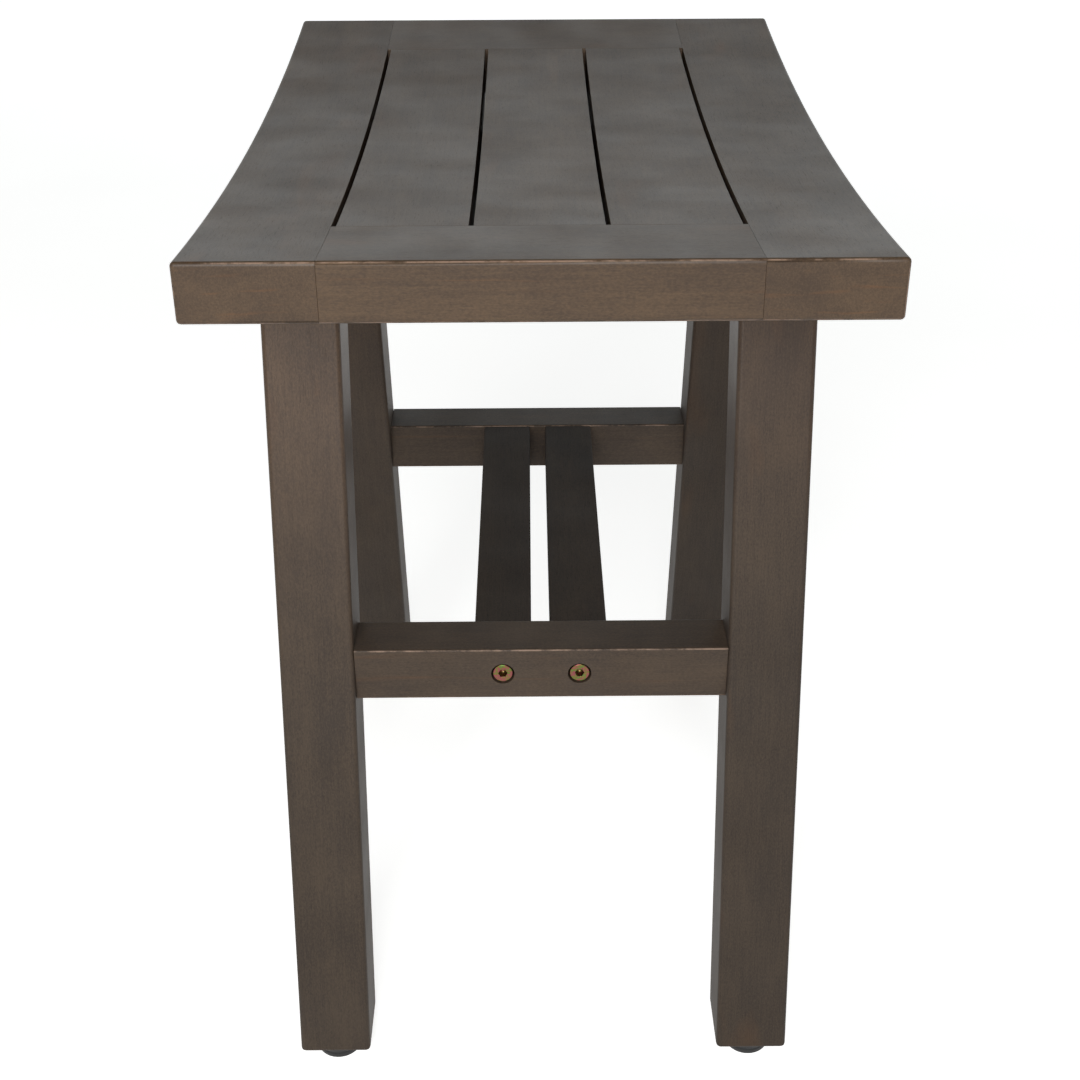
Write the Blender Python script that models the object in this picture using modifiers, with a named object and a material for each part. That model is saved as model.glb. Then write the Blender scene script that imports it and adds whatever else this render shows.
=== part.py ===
"""Wooden shower bench: a dished, slatted seat on two splayed leg frames that two long bars tie together.

Metres, +Z up. X runs across the bench, Y along it, and the floor is at Z = 0. The front end is at -Y and
the left side at -X. Every piece is one object. The four levelling feet slide in the legs along Z.
"""
import math

import bmesh
import bpy
from mathutils import Vector

# Fits
FIT_GAP = 0.0003  # between any two faces that touch
RUN_GAP = 0.0003  # around a stud, bolt or nut in its hole

# Seat
SEAT_LENGTH = 0.456
SEAT_WIDTH = 0.300
SEAT_HEIGHT = 0.488  # floor to the high ends
SEAT_THICKNESS = 0.027
SEAT_DISH = 0.0123  # how far the middle lies below the ends
SIDE_RAIL_WIDTH = 0.0588
END_RAIL_WIDTH = 0.060
SLAT_GAP = 0.0022
SLAT_NAMES = ("slat_left", "slat_middle", "slat_right")
SWEEP_FACETS = 15  # flat steps along the seat's curve, an odd number so that the middle one is level

# Joints in the seat
JOINT_THICKNESS = 0.009  # every tenon and tongue, at mid thickness of its board
RAIL_TENON_LENGTH = 0.024
RAIL_TENON_SHOULDER = 0.010
SLAT_TONGUE_LENGTH = 0.012
SLAT_TONGUE_SHOULDER = 0.009

# Legs
LEG_SPLAY = math.radians(12.6)
LEG_WIDTH = 0.039
LEG_DEPTH = 0.0373  # square to its splayed outer face
LEG_SIDE_INSET = 0.0135  # long edge of the seat to the outer side of a leg
LEG_END_INSET = 0.0267  # end of the seat to the outer face at the bottom of a leg
LEG_CLEARANCE = 0.012  # floor to the bottom of a leg

# Rails between a pair of legs
STRETCHER_TOP = 0.2475
STRETCHER_HEIGHT = 0.0303
STRETCHER_DEPTH = 0.0285
TOP_RAIL_HEIGHT = 0.032
TOP_RAIL_DEPTH = 0.0285
LEG_TENON_LENGTH = 0.022
LEG_TENON_THICKNESS = 0.012
LEG_TENON_SHOULDER = 0.006

# Long bars
BAR_WIDTH = 0.030
BAR_HEIGHT = 0.029
BAR_PITCH = 0.0403  # between the middles of the two bars
BAR_DROP = 0.0005  # top of a bar below the top of the stretcher

# Bolts
BOLT_DIAMETER = 0.006
BOLT_HEAD_DIAMETER = 0.0106
BOLT_HEAD_HEIGHT = 0.0058
BOLT_SOCKET_ACROSS = 0.004  # across the flats
BOLT_SOCKET_DEPTH = 0.003
BOLT_EDGE = 0.0006
RECESS_ROOM = 0.0008  # around a bolt head
RECESS_SETBACK = 0.0006  # face of a bolt head below the wood around it
BAR_BOLT_GRIP = 0.052  # under the head to the tip
SEAT_BOLT_BITE = 0.014  # how far a seat bolt enters the slat

# Nuts and inserts
NUT_DIAMETER = 0.010
NUT_LENGTH = 0.016
NUT_SETBACK = 0.020  # end of the bar to the middle of the nut
NUT_SLOT_WIDTH = 0.0012
NUT_SLOT_DEPTH = 0.001
SEAT_INSERT_DIAMETER = 0.010
SEAT_INSERT_LENGTH = 0.013
FOOT_INSERT_DIAMETER = 0.012
FOOT_INSERT_LENGTH = 0.018
INSERT_SINK = 0.001  # end of an insert below the wood around it

# Levelling feet
PAD_DIAMETER = 0.025
PAD_HEIGHT = 0.008
PAD_EDGE = 0.0012
STUD_DIAMETER = 0.008
STUD_REACH = 0.022  # how far a stud enters the leg at rest
STUD_HEAD_DIAMETER = 0.014
STUD_HEAD_HEIGHT = 0.0025
FOOT_SCREW_IN = 0.0035  # travel up from rest
BORE_TIP = 0.002  # free depth past the end of what fills a blind hole

# Round shapes
ROUND_STEPS = 24
CUT_OVERRUN = 0.002  # how far a cutter passes the face that it enters

# Worked out from the sizes above
SWEEP_RADIUS = ((SEAT_LENGTH / 2) ** 2 + SEAT_DISH ** 2) / (2 * SEAT_DISH)
SWEEP_CENTRE_Z = SEAT_HEIGHT - SEAT_DISH + SWEEP_RADIUS
LEG_OUTER_X = SEAT_WIDTH / 2 - LEG_SIDE_INSET
LEG_INNER_X = LEG_OUTER_X - LEG_WIDTH
LEG_MIDDLE_X = LEG_OUTER_X - LEG_WIDTH / 2
LEG_REACH = SEAT_LENGTH / 2 - LEG_END_INSET  # middle of the bench to the outer face at the bottom of a leg
SIDE_RAIL_INNER_X = SEAT_WIDTH / 2 - SIDE_RAIL_WIDTH
SLAT_WIDTH = (2 * SIDE_RAIL_INNER_X - (len(SLAT_NAMES) + 1) * SLAT_GAP) / len(SLAT_NAMES)
SLAT_END_Y = SEAT_LENGTH / 2 - END_RAIL_WIDTH
SEAT_BOLT_X = SLAT_WIDTH + SLAT_GAP  # middle of an outer slat
RECESS_RADIUS = BOLT_HEAD_DIAMETER / 2 + RECESS_ROOM
JOINT_DEPTHS = ((SEAT_THICKNESS - JOINT_THICKNESS) / 2, (SEAT_THICKNESS + JOINT_THICKNESS) / 2)
BOLT_HEIGHT = STRETCHER_TOP - STRETCHER_HEIGHT / 2

SIDES = {"left": -1, "right": 1}
ENDS = {"front": -1, "rear": 1}

PARTS = "shower_bench"
CUTTERS = "cutters"


# Heights and places

def seat_height_at(y, depth=0.0):
    """Height of the seat's swept surface, or of the one that lies this depth below it."""
    return SWEEP_CENTRE_Z - math.sqrt((SWEEP_RADIUS + depth) ** 2 - y ** 2)


def leg_face_y(z, inward=0.0):
    """Distance from the middle of the bench to a leg's outer face, or to a plane this far inside it."""
    return LEG_REACH - (z - LEG_CLEARANCE) * math.tan(LEG_SPLAY) - inward / math.cos(LEG_SPLAY)


def leg_top_z(inward):
    """Height at which that plane of a leg meets the underside of the seat."""
    z = SEAT_HEIGHT - SEAT_THICKNESS
    for _ in range(10):
        z = seat_height_at(leg_face_y(z, inward), SEAT_THICKNESS) - FIT_GAP
    return z


def between(limits, share):
    """The value this share of the way along a pair of limits."""
    return limits[0] + (limits[1] - limits[0]) * share


def mirrored(limits, sign):
    """The same pair of limits on the other side of zero when sign is -1."""
    return tuple(sorted((sign * limits[0], sign * limits[1])))


def grown(limits, gap):
    """Limits of a hole that clears its filling by the gap."""
    return (limits[0] - gap, limits[1] + gap)


STRETCHER_FACE_Y = leg_face_y(STRETCHER_TOP)
STRETCHER_INNER_Y = STRETCHER_FACE_Y - STRETCHER_DEPTH
TOP_RAIL_Y = leg_face_y(leg_top_z(0), LEG_DEPTH / 2)
TOP_RAIL_TOP = seat_height_at(TOP_RAIL_Y, SEAT_THICKNESS)
FOOT_Y = leg_face_y(LEG_CLEARANCE, LEG_DEPTH / 2)


# Objects

def collection(name):
    """The collection of this name, made and linked the first time."""
    if name not in bpy.data.collections:
        bpy.context.scene.collection.children.link(bpy.data.collections.new(name))
    return bpy.data.collections[name]


def material(name, colour, roughness, metallic):
    """A plain Principled material for one sub-part."""
    made = bpy.data.materials.new(name)
    made.use_nodes = True
    shader = made.node_tree.nodes["Principled BSDF"]
    shader.inputs["Base Color"].default_value = (*colour, 1.0)
    shader.inputs["Roughness"].default_value = roughness
    shader.inputs["Metallic"].default_value = metallic
    made.diffuse_color = (*colour, 1.0)
    return made


def stained_wood(name):
    return material(name, (0.105, 0.085, 0.068), 0.45, 0.0)


def yellow_zinc(name):
    return material(name, (0.50, 0.38, 0.16), 0.35, 1.0)


def bright_zinc(name):
    return material(name, (0.55, 0.55, 0.56), 0.35, 1.0)


def brass(name):
    return material(name, (0.60, 0.44, 0.18), 0.35, 1.0)


def black_plastic(name):
    return material(name, (0.012, 0.012, 0.013), 0.5, 0.0)


def new_object(name, mesh, group):
    """An object around a finished bmesh, with outward faces, in one of the two collections."""
    bmesh.ops.recalc_face_normals(mesh, faces=mesh.faces)
    data = bpy.data.meshes.new(name)
    mesh.to_mesh(data)
    mesh.free()
    made = bpy.data.objects.new(name, data)
    collection(group).objects.link(made)
    if group == CUTTERS:
        made.hide_render = True
        made.display_type = "WIRE"
    return made


def finish(part, make_material):
    """Give a part its own material."""
    part.data.materials.append(make_material(part.name))
    return part


def block(name, x, y, z, group=PARTS):
    """A straight-sided block, with its origin at its middle."""
    mesh = bmesh.new()
    bmesh.ops.create_cube(mesh, size=1.0)
    size = Vector((x[1] - x[0], y[1] - y[0], z[1] - z[0]))
    bmesh.ops.scale(mesh, vec=size, verts=mesh.verts)
    made = new_object(name, mesh, group)
    made.location = (between(x, 0.5), between(y, 0.5), between(z, 0.5))
    return made


def swept_board(name, x, y, depths, group=PARTS):
    """A board that follows the seat's curve between two depths below its top, origin at its middle."""
    mesh = bmesh.new()
    bmesh.ops.create_cube(mesh, size=1.0)
    middle_y = between(y, 0.5)
    for vert in mesh.verts:
        vert.co.x *= x[1] - x[0]
        vert.co.y = between(y, vert.co.y + 0.5)
    for step in range(1, SWEEP_FACETS):
        cut_y = SEAT_LENGTH * (step / SWEEP_FACETS - 0.5)
        geometry = mesh.verts[:] + mesh.edges[:] + mesh.faces[:]
        bmesh.ops.bisect_plane(mesh, geom=geometry, plane_co=(0, cut_y, 0), plane_no=(0, 1, 0))
    middle_z = seat_height_at(middle_y, between(depths, 0.5))
    for vert in mesh.verts:
        depth = between(depths, 0.5 - vert.co.z)
        vert.co.z = seat_height_at(vert.co.y, depth) - middle_z
        vert.co.y -= middle_y
    made = new_object(name, mesh, group)
    made.location = (between(x, 0.5), middle_y, middle_z)
    return made


def rod(name, centre, axis, radius, length, group=CUTTERS, steps=ROUND_STEPS):
    """A plain round rod about its centre, along an axis."""
    mesh = bmesh.new()
    bmesh.ops.create_cone(mesh, cap_ends=True, segments=steps, radius1=radius, radius2=radius, depth=length)
    made = new_object(name, mesh, group)
    made.location = centre
    made.rotation_euler = Vector((0, 0, 1)).rotation_difference(Vector(axis)).to_euler()
    return made


def rod_from(name, start, axis, radius, length, group=CUTTERS, steps=ROUND_STEPS):
    """A plain round rod from its start, along an axis."""
    centre = Vector(start) + Vector(axis) * length / 2
    return rod(name, centre, axis, radius, length, group, steps)


def turned(name, outline, origin, axis, ring=False, steps=ROUND_STEPS):
    """A solid turned about its own Z from (radius, height) points in order; a ring's points close up."""
    mesh = bmesh.new()
    corners = [mesh.verts.new((radius, 0, height)) for radius, height in outline]
    followers = corners[1:] + corners[:1] if ring else corners[1:]
    for start, end in zip(corners, followers):
        mesh.edges.new((start, end))
    made = new_object(name, mesh, PARTS)
    screw = made.modifiers.new("turn", "SCREW")
    screw.axis = "Z"
    screw.angle = math.tau
    screw.steps = steps
    screw.render_steps = steps
    screw.use_merge_vertices = True
    screw.merge_threshold = 0.00001
    apply_modifiers(made)
    made.location = origin
    made.rotation_euler = Vector((0, 0, 1)).rotation_difference(Vector(axis)).to_euler()
    return made


def apply_modifiers(made):
    """Keep what an object's modifiers make as its own mesh, with outward faces."""
    shaped = made.evaluated_get(bpy.context.evaluated_depsgraph_get())
    mesh = bmesh.new()
    mesh.from_mesh(shaped.to_mesh())
    shaped.to_mesh_clear()
    made.modifiers.clear()
    bmesh.ops.recalc_face_normals(mesh, faces=mesh.faces)
    mesh.to_mesh(made.data)
    mesh.free()


def combine(part, other, operation):
    """Add another object to a part, or cut it away, with an exact Boolean."""
    boolean = part.modifiers.new(other.name, "BOOLEAN")
    boolean.operation = operation
    boolean.solver = "EXACT"
    boolean.object = other


def add(part, other):
    combine(part, other, "UNION")


def cut(part, other):
    combine(part, other, "DIFFERENCE")


# Seat

def seat_tenon(name, x, y, gap):
    """A tenon or tongue at mid thickness of the seat's boards, or with a gap, the hole that it fills."""
    return swept_board(name, grown(x, gap), grown(y, gap), grown(JOINT_DEPTHS, gap), CUTTERS)


def rail_tenon_limits(side, end):
    """Where an end rail's tenon lies inside a side rail, with a root inside the end rail itself."""
    x = (SIDE_RAIL_INNER_X - RAIL_TENON_SHOULDER, SIDE_RAIL_INNER_X + RAIL_TENON_LENGTH)
    y = (SLAT_END_Y + RAIL_TENON_SHOULDER, SEAT_LENGTH / 2 - RAIL_TENON_SHOULDER)
    return mirrored(x, side), mirrored(y, end)


def slat_limits_x(index):
    """The two long edges of a slat, counted from the left."""
    low = -SIDE_RAIL_INNER_X + SLAT_GAP + index * (SLAT_WIDTH + SLAT_GAP)
    return (low, low + SLAT_WIDTH)


def slat_tongue_limits(index, end):
    """Where a slat's tongue lies inside an end rail, with a root inside the slat itself."""
    low, high = slat_limits_x(index)
    x = (low + SLAT_TONGUE_SHOULDER, high - SLAT_TONGUE_SHOULDER)
    y = (SLAT_END_Y - SLAT_TONGUE_SHOULDER, SLAT_END_Y + SLAT_TONGUE_LENGTH)
    return x, mirrored(y, end)


def side_rail(side_name, side):
    x = mirrored((SIDE_RAIL_INNER_X, SEAT_WIDTH / 2), side)
    y = (-SEAT_LENGTH / 2, SEAT_LENGTH / 2)
    part = swept_board(f"side_rail_{side_name}", x, y, (0, SEAT_THICKNESS))
    for end_name, end in ENDS.items():
        tenon_x, tenon_y = rail_tenon_limits(side, end)
        cut(part, seat_tenon(f"rail_mortise_{end_name}_{side_name}", tenon_x, tenon_y, FIT_GAP))
    return finish(part, stained_wood)


def end_rail(end_name, end):
    half = SIDE_RAIL_INNER_X - FIT_GAP
    y = mirrored((SLAT_END_Y, SEAT_LENGTH / 2), end)
    part = swept_board(f"end_rail_{end_name}", (-half, half), y, (0, SEAT_THICKNESS))
    for side_name, side in SIDES.items():
        tenon_x, tenon_y = rail_tenon_limits(side, end)
        add(part, seat_tenon(f"rail_tenon_{end_name}_{side_name}", tenon_x, tenon_y, 0))
    for index, slat_name in enumerate(SLAT_NAMES):
        tongue_x, tongue_y = slat_tongue_limits(index, end)
        cut(part, seat_tenon(f"{slat_name}_mortise_{end_name}", tongue_x, tongue_y, FIT_GAP))
    return finish(part, stained_wood)


def slat(index, name):
    half = SLAT_END_Y - FIT_GAP
    part = swept_board(name, slat_limits_x(index), (-half, half), (0, SEAT_THICKNESS))
    for end_name, end in ENDS.items():
        tongue_x, tongue_y = slat_tongue_limits(index, end)
        add(part, seat_tenon(f"{name}_tongue_{end_name}", tongue_x, tongue_y, 0))
    return finish(part, stained_wood)


# Leg frames

def stretcher_tenon(name, side, end, gap):
    """A lower stretcher's tenon, or with a gap, its mortise in the leg."""
    x = (LEG_INNER_X - LEG_TENON_SHOULDER, LEG_INNER_X + LEG_TENON_LENGTH)
    middle_y = STRETCHER_FACE_Y - STRETCHER_DEPTH / 2
    y = (middle_y - LEG_TENON_THICKNESS / 2, middle_y + LEG_TENON_THICKNESS / 2)
    z = (STRETCHER_TOP - STRETCHER_HEIGHT + LEG_TENON_SHOULDER, STRETCHER_TOP - LEG_TENON_SHOULDER)
    limits = (mirrored(x, side), mirrored(y, end), z)
    return block(name, *(grown(pair, gap) for pair in limits), CUTTERS)


def top_rail_tenon(name, side, end, gap):
    """A top rail's tenon, or with a gap, its mortise in the leg."""
    x = (LEG_INNER_X - LEG_TENON_SHOULDER, LEG_INNER_X + LEG_TENON_LENGTH)
    y = (TOP_RAIL_Y - LEG_TENON_THICKNESS / 2, TOP_RAIL_Y + LEG_TENON_THICKNESS / 2)
    z = (TOP_RAIL_TOP - TOP_RAIL_HEIGHT + LEG_TENON_SHOULDER, TOP_RAIL_TOP - LEG_TENON_SHOULDER)
    limits = (mirrored(x, side), mirrored(y, end), z)
    return block(name, *(grown(pair, gap) for pair in limits), CUTTERS)


def leg(place, side, end):
    """A square post that leans out along the bench, cut level at the foot and to the seat at the top."""
    mesh = bmesh.new()
    bmesh.ops.create_cube(mesh, size=1.0)
    for vert in mesh.verts:
        inward = LEG_DEPTH if vert.co.y * end < 0 else 0.0
        vert.co.z = LEG_CLEARANCE if vert.co.z < 0 else leg_top_z(inward)
        vert.co.y = end * (leg_face_y(vert.co.z, inward) - FOOT_Y)
        vert.co.x *= LEG_WIDTH
        vert.co.z -= LEG_CLEARANCE
    part = new_object(f"leg_{place}", mesh, PARTS)
    part.location = (side * LEG_MIDDLE_X, end * FOOT_Y, LEG_CLEARANCE)
    cut(part, stretcher_tenon(f"stretcher_mortise_{place}", side, end, FIT_GAP))
    cut(part, top_rail_tenon(f"top_rail_mortise_{place}", side, end, FIT_GAP))
    foot = (side * LEG_MIDDLE_X, end * FOOT_Y, LEG_CLEARANCE - CUT_OVERRUN)
    insert_depth = INSERT_SINK + FOOT_INSERT_LENGTH + FIT_GAP + CUT_OVERRUN
    cut(part, rod_from(f"insert_bore_{place}", foot, (0, 0, 1), FOOT_INSERT_DIAMETER / 2 + FIT_GAP, insert_depth))
    stud_depth = STUD_REACH + FOOT_SCREW_IN + BORE_TIP + CUT_OVERRUN
    cut(part, rod_from(f"stud_bore_{place}", foot, (0, 0, 1), STUD_DIAMETER / 2 + RUN_GAP, stud_depth))
    return finish(part, stained_wood)


def lower_stretcher(end_name, end):
    """The rail low between a pair of legs, with a recessed hole for each bar bolt."""
    half = LEG_INNER_X - FIT_GAP
    y = mirrored((STRETCHER_INNER_Y, STRETCHER_FACE_Y), end)
    z = (STRETCHER_TOP - STRETCHER_HEIGHT, STRETCHER_TOP)
    part = block(f"lower_stretcher_{end_name}", (-half, half), y, z)
    for side_name, side in SIDES.items():
        place = f"{end_name}_{side_name}"
        add(part, stretcher_tenon(f"stretcher_tenon_{place}", side, end, 0))
        face = (side * BAR_PITCH / 2, end * (STRETCHER_FACE_Y + CUT_OVERRUN), BOLT_HEIGHT)
        inward = (0, -end, 0)
        recess_depth = RECESS_SETBACK + BOLT_HEAD_HEIGHT + FIT_GAP + CUT_OVERRUN
        cut(part, rod_from(f"bar_bolt_recess_{place}", face, inward, RECESS_RADIUS, recess_depth))
        hole_depth = STRETCHER_DEPTH + 2 * CUT_OVERRUN
        cut(part, rod_from(f"bar_bolt_hole_{place}", face, inward, BOLT_DIAMETER / 2 + RUN_GAP, hole_depth))
    return finish(part, stained_wood)


def top_rail(end_name, end):
    """The rail under the seat between a pair of legs, its top cut to the seat's curve."""
    half = LEG_INNER_X - FIT_GAP
    y = mirrored((TOP_RAIL_Y - TOP_RAIL_DEPTH / 2, TOP_RAIL_Y + TOP_RAIL_DEPTH / 2), end)
    bottom = TOP_RAIL_TOP - TOP_RAIL_HEIGHT
    part = block(f"top_rail_{end_name}", (-half, half), y, (bottom, TOP_RAIL_TOP))
    for vert in part.data.vertices:
        if vert.co.z > 0:
            world_y = vert.co.y + part.location.y
            vert.co.z = seat_height_at(world_y, SEAT_THICKNESS) - FIT_GAP - part.location.z
    for side_name, side in SIDES.items():
        place = f"{end_name}_{side_name}"
        add(part, top_rail_tenon(f"top_rail_tenon_{place}", side, end, 0))
        below = (side * SEAT_BOLT_X, end * TOP_RAIL_Y, bottom - CUT_OVERRUN)
        recess_depth = RECESS_SETBACK + BOLT_HEAD_HEIGHT + FIT_GAP + CUT_OVERRUN
        cut(part, rod_from(f"seat_bolt_recess_{place}", below, (0, 0, 1), RECESS_RADIUS, recess_depth))
        hole_depth = TOP_RAIL_HEIGHT + 2 * CUT_OVERRUN
        cut(part, rod_from(f"seat_bolt_hole_{place}", below, (0, 0, 1), BOLT_DIAMETER / 2 + RUN_GAP, hole_depth))
    return finish(part, stained_wood)


def long_bar(side_name, side):
    """A bar from stretcher to stretcher, bored at both ends for a bolt and from below for its nut."""
    half = STRETCHER_INNER_Y - FIT_GAP
    middle_x = side * BAR_PITCH / 2
    x = (middle_x - BAR_WIDTH / 2, middle_x + BAR_WIDTH / 2)
    bottom = STRETCHER_TOP - BAR_DROP - BAR_HEIGHT
    part = block(f"long_bar_{side_name}", x, (-half, half), (bottom, bottom + BAR_HEIGHT))
    for end_name, end in ENDS.items():
        place = f"{end_name}_{side_name}"
        tip_y = STRETCHER_FACE_Y - RECESS_SETBACK - BOLT_HEAD_HEIGHT - BAR_BOLT_GRIP
        entry = (middle_x, end * (half + CUT_OVERRUN), BOLT_HEIGHT)
        depth = half + CUT_OVERRUN - tip_y + BORE_TIP
        cut(part, rod_from(f"bar_bore_{place}", entry, (0, -end, 0), BOLT_DIAMETER / 2 + RUN_GAP, depth))
        below = (middle_x, end * (half - NUT_SETBACK), bottom - CUT_OVERRUN)
        nut_depth = BOLT_HEIGHT + NUT_LENGTH / 2 + FIT_GAP - (bottom - CUT_OVERRUN)
        cut(part, rod_from(f"nut_bore_{place}", below, (0, 0, 1), NUT_DIAMETER / 2 + RUN_GAP, nut_depth))
    return finish(part, stained_wood)


# Bolts, nuts and inserts

def socket_bolt(name, head_face, axis, grip):
    """A socket-head bolt whose axis points from the face of its head to its tip."""
    head = BOLT_HEAD_DIAMETER / 2
    shank = BOLT_DIAMETER / 2
    tip = BOLT_HEAD_HEIGHT + grip
    outline = [
        (0, 0),
        (head - BOLT_EDGE, 0),
        (head, BOLT_EDGE),
        (head, BOLT_HEAD_HEIGHT),
        (shank, BOLT_HEAD_HEIGHT),
        (shank, tip - BOLT_EDGE),
        (shank - BOLT_EDGE, tip),
        (0, tip),
    ]
    part = turned(name, outline, head_face, axis)
    start = Vector(head_face) - Vector(axis) * CUT_OVERRUN
    radius = BOLT_SOCKET_ACROSS / math.sqrt(3)
    cut(part, rod_from(f"{name}_socket", start, axis, radius, BOLT_SOCKET_DEPTH + CUT_OVERRUN, steps=6))
    return finish(part, yellow_zinc)


def bar_bolt(place, side, end):
    head_face = (side * BAR_PITCH / 2, end * (STRETCHER_FACE_Y - RECESS_SETBACK), BOLT_HEIGHT)
    return socket_bolt(f"bar_bolt_{place}", head_face, (0, -end, 0), BAR_BOLT_GRIP)


def barrel_nut(place, side, end):
    """A cross dowel with a bolt hole through it and a screwdriver slot in its lower face."""
    nut_y = end * (STRETCHER_INNER_Y - FIT_GAP - NUT_SETBACK)
    centre = Vector((side * BAR_PITCH / 2, nut_y, BOLT_HEIGHT))
    name = f"barrel_nut_{place}"
    part = rod(name, centre, (0, 0, 1), NUT_DIAMETER / 2, NUT_LENGTH, PARTS)
    hole_length = NUT_DIAMETER + 2 * CUT_OVERRUN
    cut(part, rod(f"{name}_hole", centre, (0, 1, 0), BOLT_DIAMETER / 2 + RUN_GAP, hole_length))
    low = BOLT_HEIGHT - NUT_LENGTH / 2
    slot_x = (centre.x - NUT_SLOT_WIDTH / 2, centre.x + NUT_SLOT_WIDTH / 2)
    slot_y = (centre.y - NUT_DIAMETER, centre.y + NUT_DIAMETER)
    cut(part, block(f"{name}_slot", slot_x, slot_y, (low - CUT_OVERRUN, low + NUT_SLOT_DEPTH), CUTTERS))
    return finish(part, bright_zinc)


def seat_bolt(place, side, end):
    """A bolt up through the top rail into the slat above it."""
    head_z = TOP_RAIL_TOP - TOP_RAIL_HEIGHT + RECESS_SETBACK
    grip = TOP_RAIL_TOP + SEAT_BOLT_BITE - head_z - BOLT_HEAD_HEIGHT
    head_face = (side * SEAT_BOLT_X, end * TOP_RAIL_Y, head_z)
    return socket_bolt(f"seat_bolt_{place}", head_face, (0, 0, 1), grip)


def hollow_insert(name, start, outer, bore, length):
    """A threaded insert drawn as a plain sleeve, standing on its lower end."""
    outline = [(bore / 2, 0), (outer / 2, 0), (outer / 2, length), (bore / 2, length)]
    return finish(turned(name, outline, start, (0, 0, 1), ring=True), brass)


def seat_insert_bottom():
    """Lower end of a seat insert, clear of the slanted underside around it."""
    edge_y = TOP_RAIL_Y + SEAT_INSERT_DIAMETER / 2
    return seat_height_at(edge_y, SEAT_THICKNESS) + INSERT_SINK


def seat_insert(place, side, end):
    start = (side * SEAT_BOLT_X, end * TOP_RAIL_Y, seat_insert_bottom())
    bore = BOLT_DIAMETER + 2 * RUN_GAP
    return hollow_insert(f"seat_insert_{place}", start, SEAT_INSERT_DIAMETER, bore, SEAT_INSERT_LENGTH)


def bore_slats_for_seat_bolts(slats):
    """Cut the blind holes for the seat bolts' inserts into the two outer slats."""
    for end_name, end in ENDS.items():
        for side_name, side in SIDES.items():
            over = slats[0] if side < 0 else slats[-1]
            start_z = TOP_RAIL_TOP - CUT_OVERRUN
            start = (side * SEAT_BOLT_X, end * TOP_RAIL_Y, start_z)
            insert_top = seat_insert_bottom() + SEAT_INSERT_LENGTH
            bolt_tip = TOP_RAIL_TOP + SEAT_BOLT_BITE
            depth = max(insert_top, bolt_tip) + FIT_GAP - start_z
            radius = SEAT_INSERT_DIAMETER / 2 + FIT_GAP
            cut(over, rod_from(f"seat_bore_{end_name}_{side_name}", start, (0, 0, 1), radius, depth))


def foot_insert(place, side, end):
    start = (side * LEG_MIDDLE_X, end * FOOT_Y, LEG_CLEARANCE + INSERT_SINK)
    bore = STUD_DIAMETER + 2 * RUN_GAP
    return hollow_insert(f"foot_insert_{place}", start, FOOT_INSERT_DIAMETER, bore, FOOT_INSERT_LENGTH)


# Levelling feet, each with its origin on the line that it slides along

def foot_pad(place, side, end):
    """A moulded pad with a round pocket in its top for the head of its stud."""
    radius = PAD_DIAMETER / 2
    pocket = STUD_HEAD_DIAMETER / 2 + FIT_GAP
    floor = PAD_HEIGHT - STUD_HEAD_HEIGHT - FIT_GAP
    outline = [
        (0, 0),
        (radius - PAD_EDGE, 0),
        (radius, PAD_EDGE),
        (radius, PAD_HEIGHT - PAD_EDGE),
        (radius - PAD_EDGE, PAD_HEIGHT),
        (pocket, PAD_HEIGHT),
        (pocket, floor),
        (0, floor),
    ]
    start = (side * LEG_MIDDLE_X, end * FOOT_Y, 0)
    return finish(turned(f"foot_pad_{place}", outline, start, (0, 0, 1)), black_plastic)


def foot_stud(place, side, end):
    """A threaded stud drawn plain, with a flat round head in the pad."""
    head = STUD_HEAD_DIAMETER / 2
    shank = STUD_DIAMETER / 2
    bottom = PAD_HEIGHT - STUD_HEAD_HEIGHT
    tip = LEG_CLEARANCE + STUD_REACH
    outline = [
        (0, bottom),
        (head, bottom),
        (head, PAD_HEIGHT),
        (shank, PAD_HEIGHT),
        (shank, tip - BOLT_EDGE),
        (shank - BOLT_EDGE, tip),
        (0, tip),
    ]
    start = (side * LEG_MIDDLE_X, end * FOOT_Y, 0)
    return finish(turned(f"foot_stud_{place}", outline, start, (0, 0, 1)), bright_zinc)


def clear_scene():
    for old in list(bpy.data.objects):
        bpy.data.objects.remove(old, do_unlink=True)


def build():
    clear_scene()
    for side_name, side in SIDES.items():
        side_rail(side_name, side)
        long_bar(side_name, side)
    slats = [slat(index, name) for index, name in enumerate(SLAT_NAMES)]
    bore_slats_for_seat_bolts(slats)
    for end_name, end in ENDS.items():
        end_rail(end_name, end)
        lower_stretcher(end_name, end)
        top_rail(end_name, end)
        for side_name, side in SIDES.items():
            place = f"{end_name}_{side_name}"
            leg(place, side, end)
            bar_bolt(place, side, end)
            barrel_nut(place, side, end)
            seat_bolt(place, side, end)
            seat_insert(place, side, end)
            foot_insert(place, side, end)
            foot_stud(place, side, end)
            foot_pad(place, side, end)


build()
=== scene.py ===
"""Looks of a wooden shower bench: stained boards, plated bolts and moulded feet in a plain pale studio."""

import math

import bmesh
import bpy
from mathutils import Matrix, Vector


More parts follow.
